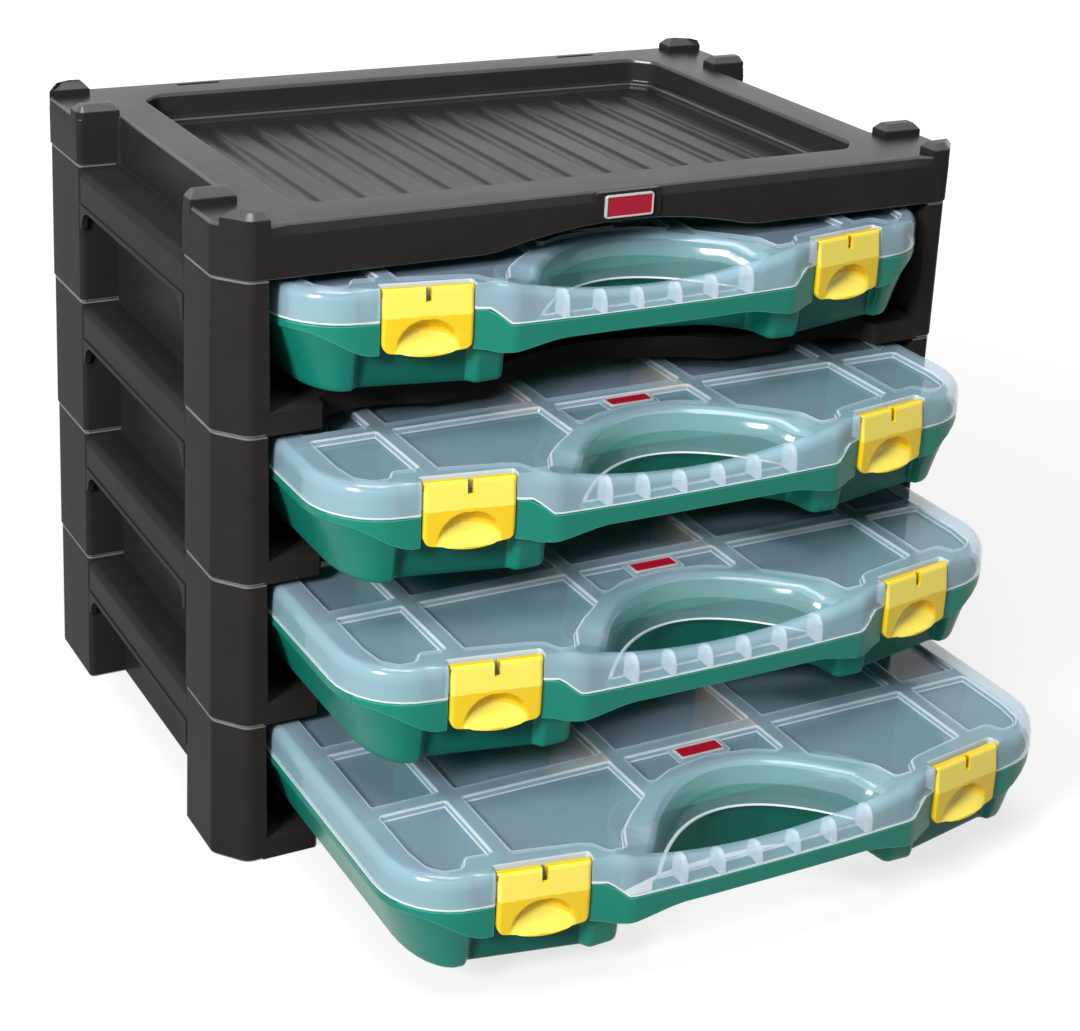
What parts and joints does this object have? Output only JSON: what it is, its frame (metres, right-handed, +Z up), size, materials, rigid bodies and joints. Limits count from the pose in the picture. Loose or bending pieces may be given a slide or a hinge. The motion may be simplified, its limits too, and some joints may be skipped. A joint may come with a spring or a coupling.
{
  "type": "parts storage box",
  "caption": "Stacking storage cabinet with a fluted top tray and pull-out organiser cases, each with a hinged translucent lid, snap latches and a carrying handle.",
  "frame": {"origin": "middle of the cabinet's footprint, on the floor", "axes": "+X to the right seen from the front, -Y towards the front, where the cases pull out, +Z up"},
  "size_m": [0.43, 0.459, 0.3445],
  "materials": {
    "cabinet_black": "fine grain",
    "case_green": "satin",
    "lid_milky": "frosted translucent",
    "latch_yellow": "satin",
    "badge_red": "gloss",
    "divider_tan": "satin"
  },
  "bodies": {
    "cabinet": {"top_tray": "cabinet_black", "tray_badge": "badge_red", "tier_1": "cabinet_black", "tier_2": "cabinet_black", "tier_3": "cabinet_black", "tier_4": "cabinet_black"},
    "case_1": {"case_1_base": "case_green", "case_1_dividers": "divider_tan"},
    "case_1_lid": {"case_1_lid": "lid_milky", "case_1_badge": "badge_red"},
    "case_1_latch_left": {"case_1_latch_left": "latch_yellow"},
    "case_1_latch_right": {"case_1_latch_right": "latch_yellow"},
    "case_2": {"case_2_base": "case_green", "case_2_dividers": "divider_tan"},
    "case_2_lid": {"case_2_lid": "lid_milky", "case_2_badge": "badge_red"},
    "case_2_latch_left": {"case_2_latch_left": "latch_yellow"},
    "case_2_latch_right": {"case_2_latch_right": "latch_yellow"},
    "case_3": {"case_3_base": "case_green", "case_3_dividers": "divider_tan"},
    "case_3_lid": {"case_3_lid": "lid_milky", "case_3_badge": "badge_red"},
    "case_3_latch_left": {"case_3_latch_left": "latch_yellow"},
    "case_3_latch_right": {"case_3_latch_right": "latch_yellow"},
    "case_4": {"case_4_base": "case_green", "case_4_dividers": "divider_tan"},
    "case_4_lid": {"case_4_lid": "lid_milky", "case_4_badge": "badge_red"},
    "case_4_latch_left": {"case_4_latch_left": "latch_yellow"},
    "case_4_latch_right": {"case_4_latch_right": "latch_yellow"}
  },
  "joints": [
    {"name": "case_1_slide", "type": "slide", "parent": "cabinet", "child": "case_1", "axis": [0, -1, 0], "range_m": [-0.038, 0.172]},
    {"name": "case_1_lid_hinge", "type": "hinge", "parent": "case_1", "child": "case_1_lid", "pos_m": [0, 0.096, 0.2908], "axis": [-1, 0, 0], "range_deg": [0, 0.7]},
    {"name": "case_1_latch_left_hinge", "type": "hinge", "parent": "case_1_lid", "child": "case_1_latch_left", "pos_m": [-0.12106, -0.16314, 0.3056], "axis": [-0.9874, 0.158, 0], "range_deg": [0, 95]},
    {"name": "case_1_latch_right_hinge", "type": "hinge", "parent": "case_1_lid", "child": "case_1_latch_right", "pos_m": [0.12106, -0.16314, 0.3056], "axis": [-0.9874, -0.158, 0], "range_deg": [0, 95]},
    {"name": "case_2_slide", "type": "slide", "parent": "cabinet", "child": "case_2", "axis": [0, -1, 0], "range_m": [-0.088, 0.122]},
    {"name": "case_2_lid_hinge", "type": "hinge", "parent": "case_2", "child": "case_2_lid", "pos_m": [0, 0.046, 0.2128], "axis": [-1, 0, 0], "range_deg": [0, 0.89]},
    {"name": "case_2_latch_left_hinge", "type": "hinge", "parent": "case_2_lid", "child": "case_2_latch_left", "pos_m": [-0.12106, -0.21314, 0.2276], "axis": [-0.9874, 0.158, 0], "range_deg": [0, 95]},
    {"name": "case_2_latch_right_hinge", "type": "hinge", "parent": "case_2_lid", "child": "case_2_latch_right", "pos_m": [0.12106, -0.21314, 0.2276], "axis": [-0.9874, -0.158, 0], "range_deg": [0, 95]},
    {"name": "case_3_slide", "type": "slide", "parent": "cabinet", "child": "case_3", "axis": [0, -1, 0], "range_m": [-0.122, 0.088]},
    {"name": "case_3_lid_hinge", "type": "hinge", "parent": "case_3", "child": "case_3_lid", "pos_m": [0, 0.012, 0.1348], "axis": [-1, 0, 0], "range_deg": [0, 1.08]},
    {"name": "case_3_latch_left_hinge", "type": "hinge", "parent": "case_3_lid", "child": "case_3_latch_left", "pos_m": [-0.12106, -0.24714, 0.1496], "axis": [-0.9874, 0.158, 0], "range_deg": [0, 95]},
    {"name": "case_3_latch_right_hinge", "type": "hinge", "parent": "case_3_lid", "child": "case_3_latch_right", "pos_m": [0.12106, -0.24714, 0.1496], "axis": [-0.9874, -0.158, 0], "range_deg": [0, 95]},
    {"name": "case_4_slide", "type": "slide", "parent": "cabinet", "child": "case_4", "axis": [0, -1, 0], "range_m": [-0.176, 0.034]},
    {"name": "case_4_lid_hinge", "type": "hinge", "parent": "case_4", "child": "case_4_lid", "pos_m": [0, -0.042, 0.0568], "axis": [-1, 0, 0], "range_deg": [0, 1.67]},
    {"name": "case_4_latch_left_hinge", "type": "hinge", "parent": "case_4_lid", "child": "case_4_latch_left", "pos_m": [-0.12106, -0.30114, 0.0716], "axis": [-0.9874, 0.158, 0], "range_deg": [0, 95]},
    {"name": "case_4_latch_right_hinge", "type": "hinge", "parent": "case_4_lid", "child": "case_4_latch_right", "pos_m": [0.12106, -0.30114, 0.0716], "axis": [-0.9874, -0.158, 0], "range_deg": [0, 95]}
  ]
}
